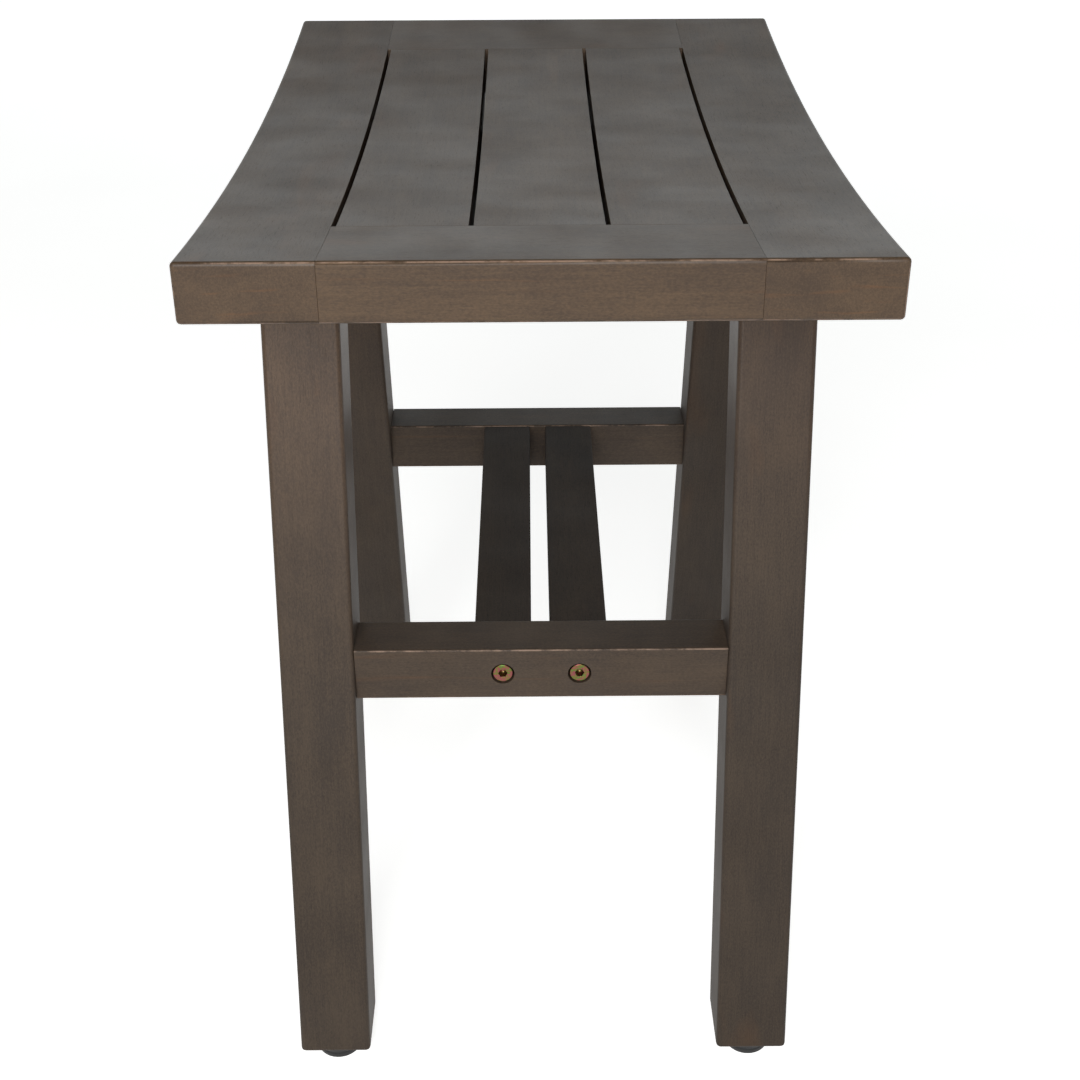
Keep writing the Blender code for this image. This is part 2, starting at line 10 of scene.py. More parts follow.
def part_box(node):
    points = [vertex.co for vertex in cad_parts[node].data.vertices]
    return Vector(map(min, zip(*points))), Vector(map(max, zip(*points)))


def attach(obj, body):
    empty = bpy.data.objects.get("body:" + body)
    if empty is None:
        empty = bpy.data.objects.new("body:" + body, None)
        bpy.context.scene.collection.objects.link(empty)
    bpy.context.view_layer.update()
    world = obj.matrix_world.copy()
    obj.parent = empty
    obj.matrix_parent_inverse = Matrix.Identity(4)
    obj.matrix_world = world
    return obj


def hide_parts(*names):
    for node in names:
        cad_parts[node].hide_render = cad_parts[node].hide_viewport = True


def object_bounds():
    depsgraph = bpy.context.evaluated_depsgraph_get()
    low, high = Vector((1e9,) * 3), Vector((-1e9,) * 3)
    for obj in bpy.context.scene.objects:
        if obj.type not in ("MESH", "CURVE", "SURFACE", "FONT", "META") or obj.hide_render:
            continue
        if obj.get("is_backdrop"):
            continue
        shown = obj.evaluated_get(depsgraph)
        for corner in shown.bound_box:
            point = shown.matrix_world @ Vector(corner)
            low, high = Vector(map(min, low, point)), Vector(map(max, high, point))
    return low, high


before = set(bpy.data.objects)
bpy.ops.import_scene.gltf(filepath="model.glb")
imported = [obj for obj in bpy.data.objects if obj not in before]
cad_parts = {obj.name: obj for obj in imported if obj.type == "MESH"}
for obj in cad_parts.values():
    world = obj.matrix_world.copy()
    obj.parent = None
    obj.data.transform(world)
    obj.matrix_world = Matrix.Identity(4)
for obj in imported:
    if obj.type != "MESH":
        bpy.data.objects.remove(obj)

bl_info = {
    "name": "Wooden Shower Bench",
    "version": (1, 0, 0),
    "blender": (4, 5, 0),
    "location": "View3D > Sidebar > Bench",
    "description": "Finished pieces of a slatted wooden shower bench and the studio around it",
    "category": "Add Mesh",
}

SIDES = {"left": -1, "right": 1}
ENDS = {"front": -1, "rear": 1}
SLATS = ("slat_left", "slat_middle", "slat_right")
MERGE = 1e-6
SHARP = math.radians(40)
UP = Vector((0, 0, 1))

# Order of a board's axes: along the grain, across it and through the board
ALONG_X = (0, 1, 2)
ALONG_Y = (1, 0, 2)
ALONG_Z = (2, 0, 1)

METAL_ROOM = 0.0003  # room between a bore or pocket and the metal in it
MOUTH_FLARE = 0.0003  # widening at the mouth of a socket or pocket
RAIL_OVERRUN = 0.001  # how far a hole's cutter runs past a stretcher's far face
TOP_RAIL_OVERRUN = 0.003  # and past a top rail's curved face
SOCKET_POINT = 0.0008  # depth of the point at the floor of a hexagon socket
STUD_HEAD_EDGE = 0.0004
TURNED_METAL_EDGE = 0.0002
GROOVE_LOW, GROOVE_HIGH = 0.0030, 0.0046  # a pad's groove, up from the floor
GROOVE_DEPTH = 0.0004
LEG_STEPS = 12  # level cuts that carry a leg's painted light and shade from seat to foot
END_RAIL_STEPS = 8  # cuts that carry the seat's curve across an end rail
STUD_SIDES = 32
THREAD_ROWS = 8  # rows of faces in one turn of a thread

NO_EDGE = 1.0  # a distance at which no edge of a board lies
FAINT_WEAR = 0.0006  # keeps an edge's wear down to a few faint marks
FAINT_RAIL_WEAR = FAINT_WEAR * 0.7
SEAT_TONE = Vector((1.0, 1.0, 1.0))
RAIL_PAINTED_SHADE = Vector((0.74, 0.79, 0.88))  # painted shade: the rails are drawn darker and cooler than the seat, low down and under it
# painted light and shade: each leg's colour is lifted near the seat and darkened toward the foot, standing in
# for light falling off down the leg
LEG_TOP_PAINTED_LIGHT = {-1: Vector((1.52, 1.41, 1.38)), 1: Vector((1.40, 1.29, 1.27))}
LEG_FOOT_PAINTED_SHADE = {-1: Vector((0.64, 0.70, 0.79)), 1: Vector((0.58, 0.64, 0.74))}
LEG_SHADE_FADES = {-1: 4, 1: 6}  # how soon below the seat a leg's painted light falls to the painted shade of its foot
# painted shade: the bars under the seat are drawn much darker and cooler than the seat
BAR_PAINTED_SHADE = Vector((0.36, 0.38, 0.42))

# First grain seed of each kind of board
SIDE_RAIL_SEED = 1
END_RAIL_SEED = 3
SLAT_SEED = 5
LEG_SEED = 8
STRETCHER_SEED = 12
TOP_RAIL_SEED = 14
BAR_SEED = 16

# Sizes of the wood's features in millimetres, along the grain, across it and through the board
FIBRE_MM = (30, 0.9, 0.9)
FIGURE_MM = (150, 30, 10)
PORE_MM = (6, 0.32, 0.32)
CLOUD_MM = (34, 60, 60)
BLOTCH_MM = (45, 22, 22)
MOTTLE_MM = (1.5, 0.8, 0.8)
STREAK_MM = (90, 30, 2.5)
CHIP_MM = (18, 12, 12)

# Sizes of the metals', the plastic's and the floor's features in millimetres
FILM_MM = (2.2, 2.2, 2.2)
GRIT_MM = (0.5, 0.5, 0.5)
TURNING_MM = (1.4, 1.4, 0.25)
SPARK_MM = (0.35, 0.35, 0.35)
SCUFF_MM = (4.0, 4.0, 1.2)
FLOOR_MM = (400, 400, 400)

FLOOR_HALF = 30.0
FLOOR_GLOW = 0.78
WALL_LIGHT = 0.56
CEILING_LIGHT = 0.1
BACKDROP = 0.9
FRONT_PLACE, FRONT_AIM = (-0.15, -1.25, 0.95), (0, -0.2, 0.45)
FRONT_SIZE, FRONT_POWER = (0.7, 0.7), 15.5
REAR_PLACE, REAR_AIM = (0.7, 3.2, 1.15), (0, 0, 0.45)
REAR_SIZE, REAR_POWER = (5.4, 1.6), 21
REAR_TINT = (0.88, 0.98, 1.0)
CAMERA_PLACE = Vector((-0.00482, -0.84435, 0.70997))
CAMERA_YAW = 0.0064
CAMERA_PITCH = 0.5184
CAMERA_ROLL = -0.0043
CAMERA_LENS = 53.46

FINISHES = {}


def linear(code):
    """A linear colour from an sRGB hex code."""
    shares = [int(code[start:start + 2], 16) / 255 for start in (1, 3, 5)]
    return tuple(s / 12.92 if s <= 0.04045 else ((s + 0.055) / 1.055) ** 2.4 for s in shares)


def length(name, description, default):
    """A length property in metres."""
    return bpy.props.FloatProperty(
        name=name, description=description, default=default, unit="LENGTH", precision=5
    )


def colour(name, description, code):
    """A colour property given by an sRGB hex code."""
    return bpy.props.FloatVectorProperty(
        name=name, description=description, default=linear(code), subtype="COLOR", size=3, min=0, max=1
    )


class BenchSizes(bpy.types.PropertyGroup):
    """Sizes that the frame's own boxes don't give."""

    seat_thickness: length("Seat thickness", "Thickness of every board of the seat", 0.027)
    leg_depth: length("Leg depth", "Leg square to its splayed outer face", 0.0373)
    leg_splay: bpy.props.FloatProperty(
        name="Leg splay", description="Lean of the legs along the bench", default=math.radians(12.6),
        subtype="ANGLE",
    )
    joint_gap: length("Joint gap", "Open line between two boards that meet", 0.00008)
    outer_edge: length("Outer edge", "Rounding of the outer edges of the seat", 0.0020)
    leg_edge: length("Leg edge", "Rounding of the long edges of a leg", 0.0026)
    rail_edge: length("Rail edge", "Rounding of the long edges of rails and bars", 0.0011)
    joint_edge: length("Joint edge", "Easing of a board where it meets another", 0.00008)
    seam_edge: length("Seam edge", "Easing of the seam that shows in the seat's end", 0.00035)
    slot_edge: length("Slot edge", "Easing along the open slots of the seat", 0.00015)
    recess_edge: length("Recess edge", "Easing around a bolt hole's mouth", 0.00025)
    foot_edge: length("Foot edge", "Rounding of the level edges round the foot of a leg", 0.0020)
    recess_depth: length("Recess depth", "Wood face to the floor of a bolt's recess", 0.0067)
    recess_room: length("Recess room", "Room around a bolt head in its recess", 0.0008)
    head_height: length("Head height", "Height of a bolt head", 0.0058)
    shank: length("Shank", "Diameter of a bolt's shank", 0.006)
    socket_across: length("Socket", "Hexagon socket across its flats", 0.004)
    socket_depth: length("Socket depth", "Depth of the hexagon socket", 0.003)
    metal_edge: length("Metal edge", "Rounding of a bolt head's rim", 0.0006)
    thread_pitch: length("Thread pitch", "Rise of a stud's thread in one turn", 0.00125)
    thread_depth: length("Thread depth", "Depth of a stud's thread", 0.00065)
    stud_diameter: length("Stud diameter", "Diameter over a stud's thread", 0.008)
    stud_head_height: length("Stud head", "Height of a stud's flat head", 0.0025)
    pad_height: length("Pad height", "Height of a foot pad", 0.008)
    pad_edge: length("Pad edge", "Rounding of a foot pad's rims", 0.0012)


class BenchColours(bpy.types.PropertyGroup):
    """Base colours of the finishes."""

    wood_dark: colour("Wood, dark", "Stain where it has sunk into the grain", "#403226")
    wood_light: colour("Wood, light", "Stain over the harder grain", "#584634")
    wood_streak: colour("Wood, streak", "Warm streaks in the stain", "#6d4a2c")
    wood_pore: colour("Wood, pores", "Stain gathered in the open pores", "#211a15")
    wood_worn: colour("Wood, worn", "Bare wood where an edge is rubbed through", "#b89a84")
    zinc_gold: colour("Zinc, gold", "Main tone of the yellow passivated zinc", "#6b6034")
    zinc_pink: colour("Zinc, pink", "Pink bands of the passivated zinc", "#80484a")
    zinc_green: colour("Zinc, green", "Green bands of the passivated zinc", "#586c38")
    zinc_bright: colour("Zinc, bright", "Clear passivated zinc", "#a9abad")
    brass: colour("Brass", "Turned brass", "#b8954f")
    plastic: colour("Plastic", "Moulded black plastic", "#0c0c0d")
    plastic_scuff: colour("Plastic, scuffed", "Scuffed black plastic", "#323233")
    floor: colour("Floor", "Pale floor", "#f4f4f3")
    floor_shade: colour("Floor, shade", "Faint second tone of the floor", "#efefee")


def sizes():
    """The bench's own sizes."""
    return bpy.context.scene.bench_sizes


def colours():
    """The bench's own colours."""
    return bpy.context.scene.bench_colours


# Meshes

def shaped(name, mesh):
    """An object at the origin around a finished bmesh, with outward faces."""
    bmesh.ops.remove_doubles(mesh, verts=mesh.verts, dist=MERGE)
    bmesh.ops.recalc_face_normals(mesh, faces=mesh.faces)
    data = bpy.data.meshes.new(name)
    mesh.to_mesh(data)
    mesh.free()
    made = bpy.data.objects.new(name, data)
    bpy.context.scene.collection.objects.link(made)
    return made


def block_mesh(low, high):
    """A box between two corners."""
    mesh = bmesh.new()
    bmesh.ops.create_cube(mesh, size=1.0)
    bmesh.ops.scale(mesh, vec=high - low, verts=mesh.verts)
    bmesh.ops.translate(mesh, vec=(low + high) / 2, verts=mesh.verts)
    return mesh


def ease(mesh, width, steps, chosen=None):
    """Round the sharp edges of a mesh, or those of them that are chosen."""
    edges = []
    for edge in mesh.edges:
        if len(edge.link_faces) == 2 and edge.calc_face_angle() > SHARP:
            if chosen is None or chosen(edge):
                edges.append(edge)
    bmesh.ops.bevel(
        mesh, geom=edges, offset=width, offset_type="OFFSET", segments=steps, profile=0.5,
        affect="EDGES", clamp_overlap=True, material=-1,
    )


def turned(name, outline, start, axis, steps=48, edge=0.0):
    """A solid turned from (radius, distance along the axis) points and placed from its start."""
    mesh = bmesh.new()
    corners = [mesh.verts.new((radius, 0, height)) for radius, height in outline]
    edges = [mesh.edges.new(pair) for pair in zip(corners, corners[1:])]
    bmesh.ops.spin(
        mesh, geom=corners + edges, cent=(0, 0, 0), axis=(0, 0, 1), steps=steps, angle=math.tau,
        use_merge=True,
    )
    bmesh.ops.remove_doubles(mesh, verts=mesh.verts, dist=MERGE)
    bmesh.ops.recalc_face_normals(mesh, faces=mesh.faces)
    if edge:
        ease(mesh, edge, 3)
    turn = UP.rotation_difference(Vector(axis)).to_matrix().to_4x4()
    bmesh.ops.transform(mesh, matrix=Matrix.Translation(start) @ turn, verts=mesh.verts)
    return shaped(name, mesh)


def carved(body, cutters):
    """Take cutters out of a body with exact Booleans and drop the cutters."""
    for cutter in cutters:
        boolean = body.modifiers.new("carve", "BOOLEAN")
        boolean.operation = "DIFFERENCE"
        boolean.solver = "EXACT"
        boolean.object = cutter
    graph = bpy.context.evaluated_depsgraph_get()
    body.data = bpy.data.meshes.new_from_object(body.evaluated_get(graph))
    body.modifiers.clear()
    for cutter in cutters:
        bpy.data.objects.remove(cutter)
    return body


def write_vectors(made, name, values):
    """Keep one vector for each vertex as a named attribute."""
    layer = made.data.attributes.new(name, "FLOAT_VECTOR", "POINT")
    for item, value in zip(layer.data, values):
        item.vector = value


def finished(made, nodes, body, finish):
    """Smooth a piece, give it its finish and let it stand for its CAD nodes."""
    for face in made.data.polygons:
        face.use_smooth = True
    normals = made.modifiers.new("normals", "WEIGHTED_NORMAL")
    normals.keep_sharp = True
    made.data.materials.clear()
    made.data.materials.append(finish)
    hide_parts(*nodes)
    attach(made, body)
    return made


# Seat curve and leg frame

class SeatCurve:
    """The arc that the seat's boards follow, read from the side rail's box."""

    def __init__(self):
        low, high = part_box("side_rail_left")
        half = (high.y - low.y) / 2
        dish = high.z - sizes().seat_thickness - low.z
        self.radius = (half**2 + dish**2) / (2 * dish)
        self.centre_z = high.z - dish + self.radius

    def height(self, y, depth):
        """Height of the surface this deep below the top of the seat."""
        return self.centre_z - math.sqrt((self.radius + depth) ** 2 - y**2)

    def flat(self, point):
        """A point of the bent seat in the straight board that it was bent from."""
        reach = math.hypot(self.centre_z - point.z, point.y)
        return Vector((point.x, point.y, self.radius - reach))

    def bend(self, mesh, steps=40):
        """Bend a straight board, drawn below Z = 0, to the seat's curve."""
        ys = [vert.co.y for vert in mesh.verts]
        low, high = min(ys), max(ys)
        for step in range(1, steps):
            cut_y = low + (high - low) * step / steps
            geometry = mesh.verts[:] + mesh.edges[:] + mesh.faces[:]
            bmesh.ops.bisect_plane(mesh, geom=geometry, plane_co=(0, cut_y, 0), plane_no=(0, 1, 0))
        for vert in mesh.verts:
            vert.co.z = self.height(vert.co.y, -vert.co.z)


def note_board(made, flatten, origin, half, order, seed, tone):
    """Keep where each vertex lies in its board: along the grain, across it and through the board.

    The origin is the point from which the three distances count, and half the distances at which a worn
    edge lies. The seed moves the grain so that no two boards look alike, and the tone gives a factor on
    each colour at a point of the board: painted light near the tops of the legs, and painted shade lower on
    the legs, on the rails and on the bars.
    """
    places = []
    painted_light_factors = []
    for vert in made.data.vertices:
        flat = flatten(vert.co)
        painted_light_factors.append(tone(flat))
        places.append(Vector([(flat - origin)[axis] for axis in order]))
    count = len(places)
    write_vectors(made, "board_place", places)
    write_vectors(made, "board_half", [Vector([half[axis] for axis in order])] * count)
    write_vectors(made, "board_seed", [Vector((seed * 0.731, seed * 0.417, seed * 0.593))] * count)
    write_vectors(made, "board_painted_light", painted_light_factors)


def straight(point):
    """A point of a board that was never bent."""
    return Vector(point)


# Materials

def add_node(tree, kind, values=None, **settings):
    """One node with its settings, and its inputs set to values or linked from other sockets."""
    made = tree.nodes.new(kind)
    for key, value in settings.items():
        setattr(made, key, value)
    for socket, value in (values or {}).items():
        if isinstance(value, bpy.types.NodeSocket):
            tree.links.new(value, made.inputs[socket])
        else:
            made.inputs[socket].default_value = value
    return made


def per_mm(*spans):
    """Noise scales that give features of these sizes in millimetres along the three axes."""
    return tuple(1000 / span for span in spans)


def principled(name):
    """A new material with its node tree and its shader."""
    made = bpy.data.materials.new(name)
    made.use_nodes = True
    return made, made.node_tree, made.node_tree.nodes["Principled BSDF"]


def noise(tree, place, spans, detail=3.0, roughness=0.5, distortion=0.0):
    """A noise whose features have these sizes in millimetres."""
    mapping = add_node(tree, "ShaderNodeMapping", {"Vector": place, "Scale": per_mm(*spans)})
    values = {
        "Vector": mapping.outputs[0], "Scale": 1.0, "Detail": detail, "Roughness": roughness,
        "Distortion": distortion,
    }
    return add_node(tree, "ShaderNodeTexNoise", values).outputs["Fac"]


def ranged(tree, value, low, high, to_low=0.0, to_high=1.0):
    """A value carried from one range to another, held at its ends."""
    values = {"Value": value, "From Min": low, "From Max": high, "To Min": to_low, "To Max": to_high}
    return add_node(tree, "ShaderNodeMapRange", values).outputs[0]


def maths(tree, operation, first, second=0.0):
    """One sum on two values."""
    return add_node(tree, "ShaderNodeMath", {0: first, 1: second}, operation=operation).outputs[0]


def mixed(tree, share, first, second):
    """Two colours mixed by a share."""
    made = add_node(tree, "ShaderNodeMix", {"Factor": share}, data_type="RGBA")
    for socket, value in ((6, first), (7, second)):
        if isinstance(value, bpy.types.NodeSocket):
            tree.links.new(value, made.inputs[socket])
        else:
            made.inputs[socket].default_value = (*value, 1.0)
    return made.outputs[2]


def edge_distance(tree, place):
    """Distance along the surface of a board to its nearest worn edge."""
    half = add_node(tree, "ShaderNodeAttribute", attribute_name="board_half").outputs["Vector"]
    size = add_node(tree, "ShaderNodeVectorMath", {0: place}, operation="ABSOLUTE").outputs[0]
    left = add_node(tree, "ShaderNodeVectorMath", {0: half, 1: size}, operation="SUBTRACT").outputs[0]
    x, y, z = add_node(tree, "ShaderNodeSeparateXYZ", {0: left}).outputs
    low = maths(tree, "MINIMUM", maths(tree, "MINIMUM", x, y), z)
    high = maths(tree, "MAXIMUM", maths(tree, "MAXIMUM", x, y), z)
    total = maths(tree, "ADD", maths(tree, "ADD", x, y), z)
    return maths(tree, "SUBTRACT", maths(tree, "SUBTRACT", total, low), high)


def stained_wood():
    """Hardwood under a dark stain and a satin lacquer, with painted light and shade from each board's tone.
    """
    made, tree, shader = principled("dark_stained_hardwood_satin_lacquer")
    place = add_node(tree, "ShaderNodeAttribute", attribute_name="board_place").outputs["Vector"]
    seed = add_node(tree, "ShaderNodeAttribute", attribute_name="board_seed").outputs["Vector"]
    grain = add_node(tree, "ShaderNodeVectorMath", {0: place, 1: seed}, operation="ADD").outputs[0]
    # fine fibres give the leg fronts and rails their vertical brush of light and dark
    fibre = noise(tree, grain, FIBRE_MM, 4.0, 0.6)
    # broad figure keeps each board's tone from lying flat
    figure = noise(tree, grain, FIGURE_MM, 3.0, 0.55, 0.7)
    # short open pores read as the dark specks in the stain
    pores = ranged(tree, noise(tree, grain, PORE_MM, 1.0), 0.62, 0.72)
    # cloudy handling marks only show where the lacquer shines
    cloud = noise(tree, grain, CLOUD_MM, 2.0, 0.5)
    # the stain dried in blotches, and over them in fine specks that show most on the end grain
    blotch = noise(tree, grain, BLOTCH_MM, 3.0, 0.6)
    mottle = noise(tree, grain, MOTTLE_MM, 3.0, 0.7)
    tone = maths(tree, "MULTIPLY", fibre, 0.18)
    for part, share in ((figure, 0.16), (blotch, 0.24), (mottle, 0.42)):
        tone = maths(tree, "ADD", tone, maths(tree, "MULTIPLY", part, share))
    light = ranged(tree, tone, 0.415, 0.595)
    wood = mixed(tree, light, tuple(colours().wood_dark), tuple(colours().wood_light))
    streak = ranged(tree, noise(tree, grain, STREAK_MM, 3.0, 0.5, 0.3), 0.62, 0.76, 0.0, 0.35)
    wood = mixed(tree, streak, wood, tuple(colours().wood_streak))
    wood = mixed(tree, maths(tree, "MULTIPLY", pores, 0.3), wood, tuple(colours().wood_pore))
    # the board's tone multiplies the wood's colour: painted light near the tops of the legs, painted shade
    # lower on the legs, on the rails and on the bars; the seat keeps its own colour
    stain = add_node(tree, "ShaderNodeAttribute", attribute_name="board_painted_light").outputs["Vector"]
    wood = add_node(tree, "ShaderNodeVectorMath", {0: wood, 1: stain}, operation="MULTIPLY").outputs[0]
    near = edge_distance(tree, place)
    rubbed = ranged(tree, near, 0.0003, 0.0011, 1.0, 0.0)
    broken = ranged(tree, noise(tree, grain, CHIP_MM, 6.0, 0.72), 0.44, 0.58)
    worn = maths(tree, "MULTIPLY", rubbed, broken)
    wood = mixed(tree, maths(tree, "MULTIPLY", worn, 0.9), wood, tuple(colours().wood_worn))
    rough = ranged(tree, cloud, 0.3, 0.7, 0.42, 0.50)
    rough = maths(tree, "ADD", rough, maths(tree, "MULTIPLY", pores, 0.08))
    # where a board's colour carries deeper painted shade, the roughness rises so that it shines less
    depth = add_node(tree, "ShaderNodeSeparateXYZ", {0: stain}).outputs[0]
    rough = maths(tree, "ADD", rough, ranged(tree, depth, 1.0, 0.3, 0.0, 0.3))
    relief = maths(tree, "SUBTRACT", maths(tree, "MULTIPLY", fibre, 0.35), pores)
    bump = add_node(tree, "ShaderNodeBump", {"Strength": 0.35, "Distance": 0.00006, "Height": relief})
    tree.links.new(wood, shader.inputs["Base Color"])
    tree.links.new(rough, shader.inputs["Roughness"])
    tree.links.new(bump.outputs[0], shader.inputs["Normal"])
    shader.inputs["Specular IOR Level"].default_value = 0.34
    return made


def object_place(tree):
    """The point being shaded, in the object's own metres."""
    return add_node(tree, "ShaderNodeTexCoord").outputs["Object"]


def yellow_zinc():
    """Steel bolts plated in zinc and passivated yellow."""
    made, tree, shader = principled("yellow_passivated_zinc_steel")
    place = object_place(tree)
    # the passivation's film runs through gold, pink and green over a few millimetres
    film = noise(tree, place, FILM_MM, 4.0, 0.6, 0.8)
    pink = ranged(tree, film, 0.49, 0.55)
    metal = mixed(tree, pink, tuple(colours().zinc_gold), tuple(colours().zinc_pink))
    metal = mixed(tree, ranged(tree, film, 0.47, 0.41), metal, tuple(colours().zinc_green))
    fine = noise(tree, place, GRIT_MM, 3.0)
    bump = add_node(tree, "ShaderNodeBump", {"Strength": 0.3, "Distance": 0.00004, "Height": fine})
    tree.links.new(metal, shader.inputs["Base Color"])
    tree.links.new(ranged(tree, fine, 0.3, 0.7, 0.3, 0.45), shader.inputs["Roughness"])
    tree.links.new(bump.outputs[0], shader.inputs["Normal"])
    shader.inputs["Metallic"].default_value = 1.0
    return made


def plain_metal(name, tone, rough):
    """Turned or plated metal with fine marks."""
    made, tree, shader = principled(name)
    place = object_place(tree)
    marks = noise(tree, place, TURNING_MM, 3.0, 0.6)
    # tarnish darkens the low parts of the marks
    dull = tuple(share * 0.6 for share in tone)
    metal = mixed(tree, ranged(tree, marks, 0.35, 0.6), dull, tuple(tone))
    bump = add_node(tree, "ShaderNodeBump", {"Strength": 0.25, "Distance": 0.00003, "Height": marks})
    tree.links.new(metal, shader.inputs["Base Color"])
    tree.links.new(ranged(tree, marks, 0.3, 0.7, rough - 0.08, rough + 0.1), shader.inputs["Roughness"])
    tree.links.new(bump.outputs[0], shader.inputs["Normal"])
    shader.inputs["Metallic"].default_value = 1.0
    return made


def black_plastic():
    """Moulded plastic with a fine spark-eroded texture, scuffed grey in places."""
    made, tree, shader = principled("black_moulded_nylon")
    place = object_place(tree)
    spark = noise(tree, place, SPARK_MM, 2.0)
    scuff = ranged(tree, noise(tree, place, SCUFF_MM, 4.0, 0.7), 0.60, 0.74, 0.0, 0.3)
    tone = mixed(tree, scuff, tuple(colours().plastic), tuple(colours().plastic_scuff))
    bump = add_node(tree, "ShaderNodeBump", {"Strength": 0.5, "Distance": 0.00005, "Height": spark})
    tree.links.new(tone, shader.inputs["Base Color"])
    tree.links.new(ranged(tree, spark, 0.3, 0.7, 0.42, 0.6), shader.inputs["Roughness"])
    tree.links.new(bump.outputs[0], shader.inputs["Normal"])
    return made


def finish(name, make, *details):
    """A material made the first time that a piece asks for it."""
    if name not in FINISHES:
        FINISHES[name] = make(*details)
    return FINISHES[name]


def seat_tone(point):
    """The seat's colour factor, the same all over: no painted light or shade."""
    return SEAT_TONE


def rail_painted_shade(point):
    """The rails' painted shade, the same all over."""
    return RAIL_PAINTED_SHADE


def bar_painted_shade(point):
    """The bars' painted shade, the same all over."""
    return BAR_PAINTED_SHADE


def wood_piece(made, node, seed, flatten, origin, half, order, tone=seat_tone):
    """Note a board's grain and finish it in stained wood."""
    note_board(made, flatten, origin, half, order, seed, tone)
    return finished(made, [node], "bench", finish("wood", stained_wood))


# Seat

def runs(edge, axis):
    """Whether an edge has any length along an axis."""
    return abs(edge.verts[0].co[axis] - edge.verts[1].co[axis]) > MERGE


def inner_side(limit, axis):
    """A test for the edges that bound the face at this limit of an axis."""
    return lambda edge: all(abs(vert.co[axis] - limit) < MERGE for vert in edge.verts)


def seat_side_rail(side_name, side, curve, seed):
    """A full-length outer board of the seat, bent to its curve."""
    node = f"side_rail_{side_name}"
    low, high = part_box(node)
    inner_x = low.x if side > 0 else high.x
    mesh = block_mesh(Vector((low.x, low.y, -sizes().seat_thickness)), Vector((high.x, high.y, 0)))
    on_joint = inner_side(inner_x, 0)
    ease(mesh, sizes().outer_edge, 4, lambda edge: not on_joint(edge))
    ease(mesh, sizes().seam_edge, 2, lambda edge: all(abs(vert.co.y) > high.y - MERGE for vert in edge.verts))
    ease(mesh, sizes().joint_edge, 2)
    curve.bend(mesh)
    made = shaped(f"seat_{node}", mesh)
    origin = Vector((inner_x, 0, -sizes().seat_thickness / 2))
    half = Vector((high.x - low.x, high.y, sizes().seat_thickness / 2))
    return wood_piece(made, node, seed, curve.flat, origin, half, ALONG_Y)


def seat_end_rail(end_name, end, curve, seed):
    """A cross board between the side rails."""
    node = f"end_rail_{end_name}"
    low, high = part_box(node)
    half_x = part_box("side_rail_right")[0].x - sizes().joint_gap
    thickness = sizes().seat_thickness
    mesh = block_mesh(Vector((-half_x, low.y, -thickness)), Vector((half_x, high.y, 0)))
    outer_y = high.y if end > 0 else low.y
    on_end = inner_side(outer_y, 1)
    ease(mesh, sizes().outer_edge, 4, lambda edge: on_end(edge) and runs(edge, 0))
    ease(mesh, sizes().seam_edge, 2, on_end)
    ease(mesh, sizes().joint_edge, 2)
    curve.bend(mesh, END_RAIL_STEPS)
    made = shaped(f"seat_{node}", mesh)
    origin = Vector((0, low.y + high.y - outer_y, -thickness / 2))
    half = Vector((NO_EDGE, high.y - low.y, thickness / 2))
    return wood_piece(made, node, seed, curve.flat, origin, half, ALONG_X)


def seat_slat(node, curve, seed):
    """A board between the end rails, with an open slot at each side."""
    low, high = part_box(node)
    thickness = sizes().seat_thickness
    half_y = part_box("end_rail_rear")[0].y - sizes().joint_gap
    mesh = block_mesh(Vector((low.x, -half_y, -thickness)), Vector((high.x, half_y, 0)))
    ease(mesh, sizes().slot_edge, 2, lambda edge: runs(edge, 1))
    ease(mesh, sizes().joint_edge, 2)
    curve.bend(mesh)
    made = shaped(f"seat_{node}", mesh)
    origin = Vector(((low.x + high.x) / 2, 0, -thickness / 2))
    half = Vector((NO_EDGE, NO_EDGE, NO_EDGE))
    return wood_piece(made, node, seed, curve.flat, origin, half, ALONG_Y)


# Legs and rails

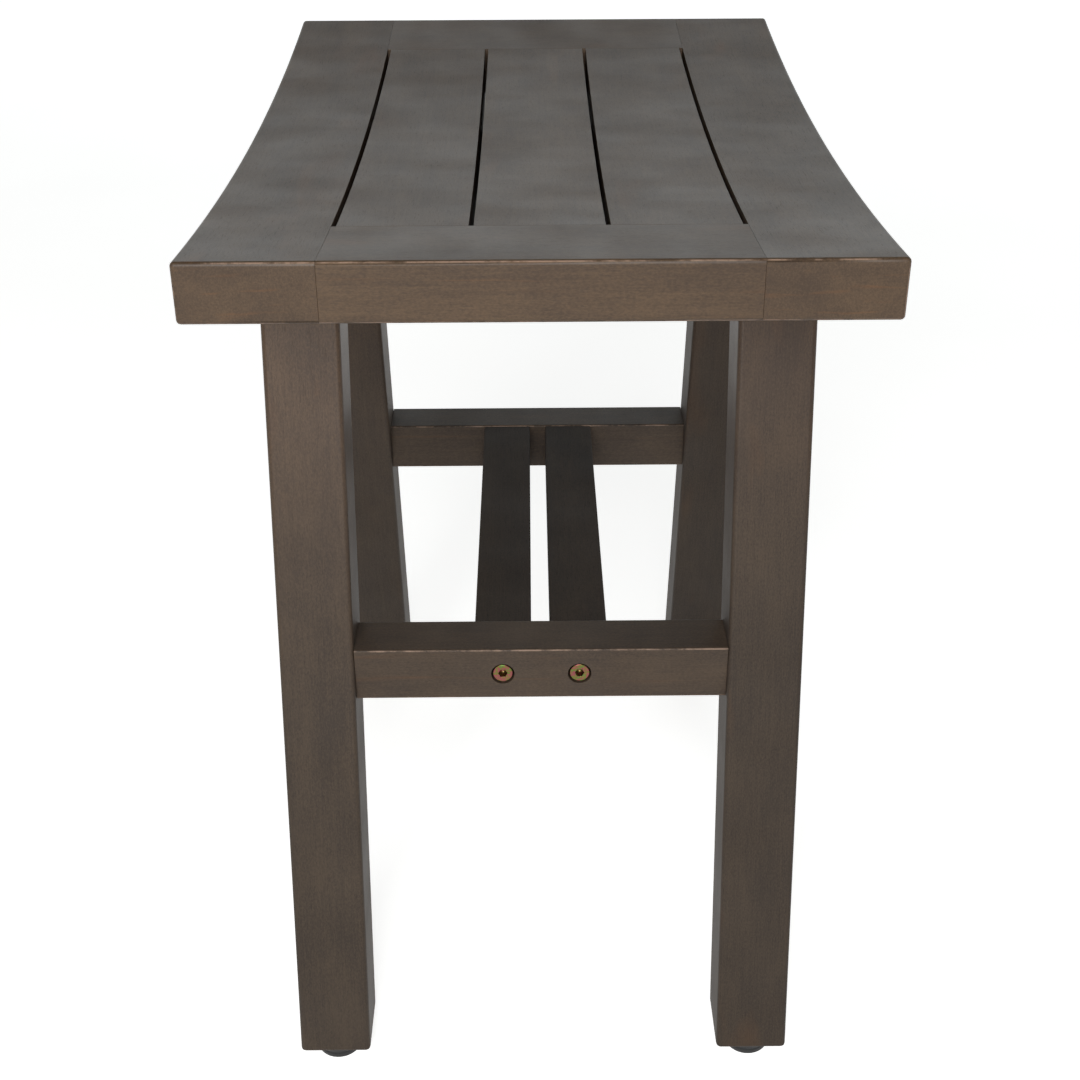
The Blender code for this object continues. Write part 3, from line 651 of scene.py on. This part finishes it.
def bench_leg(place, side, end, curve, seed):
    """A square post that leans out along the bench, cut level at the foot and to the seat at the top."""
    node = f"leg_{place}"
    low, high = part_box(node)
    foot_z = low.z
    reach = max(abs(low.y), abs(high.y))
    splay = sizes().leg_splay
    depth = sizes().leg_depth
    seat_underside = sizes().seat_thickness + sizes().joint_gap

    def face_y(z, inward):
        return reach - (z - foot_z) * math.tan(splay) - inward / math.cos(splay)

    def top_z(inward):
        z = high.z
        for _ in range(10):
            z = curve.height(face_y(z, inward), seat_underside)
        return z

    mesh = block_mesh(Vector((low.x, -1, 0)), Vector((high.x, 1, 1)))
    for vert in mesh.verts:
        inward = 0.0 if vert.co.y > 0 else depth
        vert.co.z = foot_z if vert.co.z < 0.5 else top_z(inward)
        vert.co.y = end * face_y(vert.co.z, inward)
    bmesh.ops.recalc_face_normals(mesh, faces=mesh.faces)

    def long_edge(edge):
        return abs(edge.verts[0].co.z - edge.verts[1].co.z) > depth

    ease(mesh, sizes().leg_edge, 4, long_edge)
    for step in range(1, LEG_STEPS):
        cut_z = foot_z + (high.z - foot_z) * step / LEG_STEPS
        geometry = mesh.verts[:] + mesh.edges[:] + mesh.faces[:]
        bmesh.ops.bisect_plane(mesh, geom=geometry, plane_co=(0, 0, cut_z), plane_no=(0, 0, 1))
    ease(mesh, sizes().foot_edge, 3, inner_side(foot_z, 2))
    ease(mesh, sizes().joint_edge, 2)
    made = shaped(f"bench_{node}", mesh)

    def along_leg(point):
        inward = (reach - (point.z - foot_z) * math.tan(splay) - abs(point.y)) * math.cos(splay)
        return Vector((point.x, inward, (point.z - foot_z) / math.cos(splay)))

    tall = (high.z - foot_z) / math.cos(splay)
    origin = Vector(((low.x + high.x) / 2, depth / 2, tall / 2))
    half = Vector(((high.x - low.x) / 2 + FAINT_WEAR, depth / 2, tall / 2))

    # painted light near the seat, fading to painted shade at the foot
    def leg_painted_light(point):
        share = min(max(point.z / tall, 0.0), 1.0) ** LEG_SHADE_FADES[side]
        return LEG_FOOT_PAINTED_SHADE[side].lerp(LEG_TOP_PAINTED_LIGHT[side], share)

    return wood_piece(made, node, seed, along_leg, origin, half, ALONG_Z, leg_painted_light)


def recess_cutter(start, axis, radius, depth, through):
    """A cutter for a stepped bolt hole whose mouth is eased; it starts at the face of the wood."""
    edge = sizes().recess_edge
    bore = sizes().shank / 2 + METAL_ROOM
    mouth = []
    for step in range(4):
        turn = step / 3 * math.pi / 2
        mouth.append((radius + edge * (1 - math.sin(turn)), edge * (1 - math.cos(turn))))
    outline = [(0, -edge), (radius + edge, -edge), *mouth]
    outline += [(radius, depth), (bore, depth), (bore, through), (0, through)]
    return turned("cutter", outline, start, axis)


def cross_rail(node, low, high, holes, seed, curve=None):
    """A rail between two legs with stepped bolt holes, its top cut to the seat's curve if there is one."""
    mesh = block_mesh(low, high)
    if curve:
        for vert in mesh.verts:
            if vert.co.z > (low.z + high.z) / 2:
                vert.co.z = curve.height(vert.co.y, sizes().seat_thickness + sizes().joint_gap)
    ease(mesh, sizes().rail_edge, 3, lambda edge: runs(edge, 0))
    ease(mesh, sizes().joint_edge, 2)
    made = carved(shaped(f"bench_{node}", mesh), holes)
    middle = (low + high) / 2
    half = Vector((NO_EDGE, (high.y - low.y) / 2 + FAINT_RAIL_WEAR, (high.z - low.z) / 2))
    # the rail's colour is darkened by painted shade
    return wood_piece(made, node, seed, straight, middle, half, ALONG_X, rail_painted_shade)


def lower_stretcher(end_name, end, seed):
    """The low cross rail of an end, with the recesses of the bars' bolts in its outer face."""
    node = f"lower_stretcher_{end_name}"
    low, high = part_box(node)
    half_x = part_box("leg_front_right")[0].x - sizes().joint_gap
    low.x, high.x = -half_x, half_x
    holes = []
    for side_name in SIDES:
        bolt_low, bolt_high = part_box(f"bar_bolt_{end_name}_{side_name}")
        centre = (bolt_low + bolt_high) / 2
        start = Vector((centre.x, high.y if end > 0 else low.y, centre.z))
        radius = (bolt_high.x - bolt_low.x) / 2 + sizes().recess_room
        through = high.y - low.y + RAIL_OVERRUN
        holes.append(recess_cutter(start, (0, -end, 0), radius, sizes().recess_depth, through))
    return cross_rail(node, low, high, holes, seed)


def top_rail(end_name, curve, seed):
    """The cross rail under the seat, with the recesses of the seat's bolts in its underside."""
    node = f"top_rail_{end_name}"
    low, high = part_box(node)
    half_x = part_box("leg_front_right")[0].x - sizes().joint_gap
    low.x, high.x = -half_x, half_x
    holes = []
    for side_name in SIDES:
        bolt_low, bolt_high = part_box(f"seat_bolt_{end_name}_{side_name}")
        centre = (bolt_low + bolt_high) / 2
        start = Vector((centre.x, centre.y, low.z))
        radius = (bolt_high.x - bolt_low.x) / 2 + sizes().recess_room
        through = high.z - low.z + TOP_RAIL_OVERRUN
        holes.append(recess_cutter(start, UP, radius, sizes().recess_depth, through))
    return cross_rail(node, low, high, holes, seed, curve)


def long_bar(side_name, seed):
    """A bar between the stretchers, bored from below for its two nuts."""
    node = f"long_bar_{side_name}"
    low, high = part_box(node)
    mesh = block_mesh(low, high)
    ease(mesh, sizes().rail_edge, 3, lambda edge: runs(edge, 1))
    ease(mesh, sizes().joint_edge, 2)
    edge = sizes().recess_edge
    holes = []
    for end_name in ENDS:
        nut_low, nut_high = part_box(f"barrel_nut_{end_name}_{side_name}")
        centre = (nut_low + nut_high) / 2
        radius = (nut_high.x - nut_low.x) / 2 + METAL_ROOM
        depth = nut_high.z - low.z + METAL_ROOM
        outline = [(0, -edge), (radius + edge * 2, -edge), (radius, edge), (radius, depth), (0, depth)]
        holes.append(turned("cutter", outline, Vector((centre.x, centre.y, low.z)), UP))
    made = carved(shaped(f"bench_{node}", mesh), holes)
    half = Vector((NO_EDGE, NO_EDGE, NO_EDGE))
    # the bar's colour is darkened by painted shade
    return wood_piece(made, node, seed, straight, (low + high) / 2, half, ALONG_Y, bar_painted_shade)


# Bolts, nuts, inserts and feet

def socket_bolt(node, face, axis, tip):
    """A socket-head bolt from the face of its head to its tip."""
    low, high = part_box(node)
    radius = (high.x - low.x) / 2
    shank = sizes().shank / 2
    head = sizes().head_height
    outline = [(0, 0), (radius, 0), (radius, head), (shank, head), (shank, tip), (0, tip)]
    made = turned(f"steel_{node}", outline, face, axis, edge=sizes().metal_edge)
    reach = sizes().socket_across / math.sqrt(3)
    depth = sizes().socket_depth
    hexagon = [(0, -MOUTH_FLARE), (reach + 2 * MOUTH_FLARE, -MOUTH_FLARE), (reach, MOUTH_FLARE)]
    hexagon += [(reach, depth), (0, depth + SOCKET_POINT)]
    socket = turned("cutter", hexagon, face, axis, steps=6)
    carved(made, [socket])
    return finished(made, [node], "bench", finish("yellow", yellow_zinc))


def eased_copy(node, body, material, width):
    """A CAD piece merged, with its edges eased."""
    mesh = bmesh.new()
    mesh.from_mesh(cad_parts[node].data)
    bmesh.ops.remove_doubles(mesh, verts=mesh.verts, dist=MERGE)
    bmesh.ops.dissolve_limit(mesh, angle_limit=math.radians(1), verts=mesh.verts, edges=mesh.edges)
    ease(mesh, width, 2)
    made = shaped(f"metal_{node}", mesh)
    return finished(made, [node], body, material)


def threaded_stud(place, body):
    """A levelling stud: a flat round head and a threaded shank."""
    node = f"foot_stud_{place}"
    low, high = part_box(node)
    centre = (low + high) / 2
    base = Vector((centre.x, centre.y, low.z))
    head = (high.x - low.x) / 2
    bottom = sizes().stud_head_height
    top = high.z - low.z
    outer = sizes().stud_diameter / 2
    rows = round((top - bottom) / sizes().thread_pitch * THREAD_ROWS)
    mesh = bmesh.new()
    bmesh.ops.create_grid(mesh, x_segments=STUD_SIDES, y_segments=rows, size=0.5)
    for vert in mesh.verts:
        share = vert.co.x + 0.5
        height = bottom + (vert.co.y + 0.5) * (top - bottom)
        phase = (height / sizes().thread_pitch - share) % 1.0
        radius = outer - sizes().thread_depth * abs(2 * phase - 1)
        angle = share * math.tau
        vert.co = Vector((radius * math.cos(angle), radius * math.sin(angle), height))
    bmesh.ops.remove_doubles(mesh, verts=mesh.verts, dist=MERGE)
    rim = [edge for edge in mesh.edges if edge.is_boundary]
    bmesh.ops.holes_fill(mesh, edges=rim, sides=0)
    bmesh.ops.translate(mesh, vec=base, verts=mesh.verts)
    made = shaped(f"steel_{node}", mesh)
    outline = [(0, 0), (head, 0), (head, bottom), (0, bottom)]
    disc = turned("disc", outline, base, UP, edge=STUD_HEAD_EDGE)
    join = made.modifiers.new("head", "BOOLEAN")
    join.operation = "UNION"
    join.solver = "EXACT"
    join.object = disc
    graph = bpy.context.evaluated_depsgraph_get()
    made.data = bpy.data.meshes.new_from_object(made.evaluated_get(graph))
    made.modifiers.clear()
    bpy.data.objects.remove(disc)
    zinc = finish("zinc", plain_metal, "clear_passivated_zinc_steel", tuple(colours().zinc_bright), 0.32)
    return finished(made, [node], body, zinc)


def foot_pad(place, body):
    """A moulded pad with a shallow groove round its side and a pocket for the stud's head."""
    node = f"foot_pad_{place}"
    low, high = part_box(node)
    stud_low, stud_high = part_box(f"foot_stud_{place}")
    centre = (low + high) / 2
    radius = (high.x - low.x) / 2
    pocket = (stud_high.x - stud_low.x) / 2 + METAL_ROOM
    top = sizes().pad_height
    floor = top - sizes().stud_head_height - METAL_ROOM
    edge = sizes().pad_edge
    round_low = [(radius - edge * (1 - math.sin(a)), edge * (1 - math.cos(a))) for a in quarter(5)]
    round_high = [(radius - edge * (1 - math.cos(a)), top - edge * (1 - math.sin(a))) for a in quarter(5)]
    waist = radius - GROOVE_DEPTH
    groove = [(radius, GROOVE_LOW), (waist, GROOVE_LOW + GROOVE_DEPTH)]
    groove += [(waist, GROOVE_HIGH - GROOVE_DEPTH), (radius, GROOVE_HIGH)]
    lip = [(pocket + MOUTH_FLARE, top), (pocket, top - MOUTH_FLARE), (pocket, floor), (0, floor)]
    outline = [(0, 0), *round_low, *groove, *round_high, *lip]
    made = turned(f"moulded_{node}", outline, Vector((centre.x, centre.y, low.z)), UP, steps=64)
    return finished(made, [node], body, finish("plastic", black_plastic))


def quarter(steps):
    """Angles from nothing to a quarter turn."""
    return [step / (steps - 1) * math.pi / 2 for step in range(steps)]


# Studio

def camera_matrix():
    """The camera's place and turn."""
    ahead = Vector((
        math.cos(CAMERA_PITCH) * math.sin(CAMERA_YAW),
        math.cos(CAMERA_PITCH) * math.cos(CAMERA_YAW),
        -math.sin(CAMERA_PITCH),
    ))
    level = ahead.cross(UP).normalized()
    upright = level.cross(ahead)
    right = math.cos(CAMERA_ROLL) * level + math.sin(CAMERA_ROLL) * upright
    up = math.cos(CAMERA_ROLL) * upright - math.sin(CAMERA_ROLL) * level
    turn = Matrix((right, up, -ahead)).transposed().to_4x4()
    return Matrix.Translation(CAMERA_PLACE) @ turn


def soft_light(name, place, target, size, power, tint=(1.0, 1.0, 1.0)):
    """A softbox of this width and height aimed at a point."""
    lamp = bpy.data.lights.new(name, "AREA")
    lamp.shape = "RECTANGLE"
    lamp.size, lamp.size_y = size
    lamp.energy = power
    lamp.color = tint
    made = bpy.data.objects.new(name, lamp)
    bpy.context.scene.collection.objects.link(made)
    place = Vector(place)
    aim = (Vector(target) - place).to_track_quat("-Z", "Y").to_matrix().to_4x4()
    made.matrix_world = Matrix.Translation(place) @ aim
    made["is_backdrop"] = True
    return made


def floor_material():
    """Smooth pale floor, lifted by a little light of its own so that it stays near white."""
    made, tree, shader = principled("pale_studio_floor")
    faint = noise(tree, object_place(tree), FLOOR_MM, 2.0)
    tone = mixed(tree, faint, tuple(colours().floor), tuple(colours().floor_shade))
    tree.links.new(tone, shader.inputs["Base Color"])
    tree.links.new(tone, shader.inputs["Emission Color"])
    shader.inputs["Emission Strength"].default_value = FLOOR_GLOW
    shader.inputs["Roughness"].default_value = 0.8
    return made


def studio_world():
    """Soft white light from all round, weaker from above and below than from the walls."""
    world = bpy.data.worlds.new("studio")
    world.use_nodes = True
    tree = world.node_tree
    ray = add_node(tree, "ShaderNodeTexCoord").outputs["Generated"]
    height = add_node(tree, "ShaderNodeSeparateXYZ", {0: ray}).outputs[2]
    light = ranged(tree, height, 0.25, 0.6, WALL_LIGHT, CEILING_LIGHT)
    light = maths(tree, "MULTIPLY", light, ranged(tree, height, -0.3, 0.0, 0.2, 1.0))
    seen = add_node(tree, "ShaderNodeLightPath").outputs["Is Camera Ray"]
    strength = ranged(tree, seen, 0.0, 1.0, light, BACKDROP)
    tree.links.new(strength, tree.nodes["Background"].inputs["Strength"])
    tree.nodes["Background"].inputs["Color"].default_value = (1.0, 1.0, 1.0, 1.0)
    bpy.context.scene.world = world


# Operators

class BENCH_OT_seat(bpy.types.Operator):
    """Build the seven boards of the dished seat."""

    bl_idname = "bench.seat"
    bl_label = "Seat"

    def execute(self, context):
        curve = SeatCurve()
        for number, (name, side) in enumerate(SIDES.items()):
            seat_side_rail(name, side, curve, SIDE_RAIL_SEED + number)
        for number, (name, end) in enumerate(ENDS.items()):
            seat_end_rail(name, end, curve, END_RAIL_SEED + number)
        for number, node in enumerate(SLATS):
            seat_slat(node, curve, SLAT_SEED + number)
        return {"FINISHED"}


class BENCH_OT_legs(bpy.types.Operator):
    """Build the four splayed legs."""

    bl_idname = "bench.legs"
    bl_label = "Legs"

    def execute(self, context):
        curve = SeatCurve()
        seed = LEG_SEED
        for end_name, end in ENDS.items():
            for side_name, side in SIDES.items():
                bench_leg(f"{end_name}_{side_name}", side, end, curve, seed)
                seed += 1
        return {"FINISHED"}


class BENCH_OT_rails(bpy.types.Operator):
    """Build the lower stretchers, the top rails and the two long bars."""

    bl_idname = "bench.rails"
    bl_label = "Rails and bars"

    def execute(self, context):
        curve = SeatCurve()
        for number, (name, end) in enumerate(ENDS.items()):
            lower_stretcher(name, end, STRETCHER_SEED + number)
            top_rail(name, curve, TOP_RAIL_SEED + number)
        for number, name in enumerate(SIDES):
            long_bar(name, BAR_SEED + number)
        return {"FINISHED"}


class BENCH_OT_bolts(bpy.types.Operator):
    """Build the socket-head bolts of the bars and the seat."""

    bl_idname = "bench.bolts"
    bl_label = "Bolts"

    def execute(self, context):
        for end_name, end in ENDS.items():
            for side_name in SIDES:
                node = f"bar_bolt_{end_name}_{side_name}"
                low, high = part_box(node)
                centre = (low + high) / 2
                face = Vector((centre.x, high.y if end > 0 else low.y, centre.z))
                socket_bolt(node, face, (0, -end, 0), high.y - low.y)
                node = f"seat_bolt_{end_name}_{side_name}"
                low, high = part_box(node)
                centre = (low + high) / 2
                socket_bolt(node, Vector((centre.x, centre.y, low.z)), UP, high.z - low.z)
        return {"FINISHED"}


class BENCH_OT_nuts(bpy.types.Operator):
    """Build the cross dowel nuts and the brass inserts."""

    bl_idname = "bench.nuts"
    bl_label = "Nuts and inserts"

    def execute(self, context):
        zinc = finish("zinc", plain_metal, "clear_passivated_zinc_steel", tuple(colours().zinc_bright), 0.32)
        brass = finish("brass", plain_metal, "turned_brass", tuple(colours().brass), 0.3)
        for end_name in ENDS:
            for side_name in SIDES:
                place = f"{end_name}_{side_name}"
                eased_copy(f"barrel_nut_{place}", "bench", zinc, TURNED_METAL_EDGE)
                eased_copy(f"seat_insert_{place}", "bench", brass, TURNED_METAL_EDGE)
                eased_copy(f"foot_insert_{place}", "bench", brass, TURNED_METAL_EDGE)
        return {"FINISHED"}


class BENCH_OT_feet(bpy.types.Operator):
    """Build the four levelling feet."""

    bl_idname = "bench.feet"
    bl_label = "Levelling feet"

    def execute(self, context):
        for end_name in ENDS:
            for side_name in SIDES:
                place = f"{end_name}_{side_name}"
                threaded_stud(place, f"foot_{place}")
                foot_pad(place, f"foot_{place}")
        return {"FINISHED"}


class BENCH_OT_studio(bpy.types.Operator):
    """Set up the floor, the soft lights and the camera."""

    bl_idname = "bench.studio"
    bl_label = "Studio"

    def execute(self, context):
        mesh = bmesh.new()
        bmesh.ops.create_grid(mesh, x_segments=1, y_segments=1, size=FLOOR_HALF)
        floor = shaped("studio_floor", mesh)
        floor.data.materials.append(floor_material())
        floor.visible_diffuse = False
        floor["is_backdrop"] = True
        studio_world()
        soft_light("front_softbox", FRONT_PLACE, FRONT_AIM, FRONT_SIZE, FRONT_POWER)
        soft_light("rear_wall", REAR_PLACE, REAR_AIM, REAR_SIZE, REAR_POWER, REAR_TINT)
        camera = bpy.data.objects.new("camera", bpy.data.cameras.new("camera"))
        camera.data.lens = CAMERA_LENS
        camera.data.clip_start = 0.02
        camera.matrix_world = camera_matrix()
        context.scene.collection.objects.link(camera)
        context.scene.camera = camera
        context.scene.view_settings.view_transform = "Standard"
        return {"FINISHED"}


PIECE_OPERATORS = (
    BENCH_OT_seat,
    BENCH_OT_legs,
    BENCH_OT_rails,
    BENCH_OT_bolts,
    BENCH_OT_nuts,
    BENCH_OT_feet,
    BENCH_OT_studio,
)


class BENCH_PT_panel(bpy.types.Panel):
    """The bench's pieces and studio."""

    bl_idname = "BENCH_PT_panel"
    bl_label = "Wooden Shower Bench"
    bl_space_type = "VIEW_3D"
    bl_region_type = "UI"
    bl_category = "Bench"

    def draw(self, context):
        for operator in PIECE_OPERATORS:
            self.layout.operator(operator.bl_idname)


CLASSES = (BenchSizes, BenchColours, *PIECE_OPERATORS, BENCH_PT_panel)


def register():
    for kind in CLASSES:
        bpy.utils.register_class(kind)
    bpy.types.Scene.bench_sizes = bpy.props.PointerProperty(type=BenchSizes)
    bpy.types.Scene.bench_colours = bpy.props.PointerProperty(type=BenchColours)


def unregister():
    del bpy.types.Scene.bench_colours
    del bpy.types.Scene.bench_sizes
    for kind in reversed(CLASSES):
        bpy.utils.unregister_class(kind)


def corners():
    """The shown object's two corners as plain lists."""
    return [list(corner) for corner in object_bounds()]


def main():
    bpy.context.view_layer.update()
    register()
    bpy.ops.bench.seat()
    bpy.ops.bench.legs()
    bpy.ops.bench.rails()
    bpy.ops.bench.bolts()
    bpy.ops.bench.nuts()
    bpy.ops.bench.feet()
    bpy.ops.bench.studio()


if __name__ == "__main__":
    main()
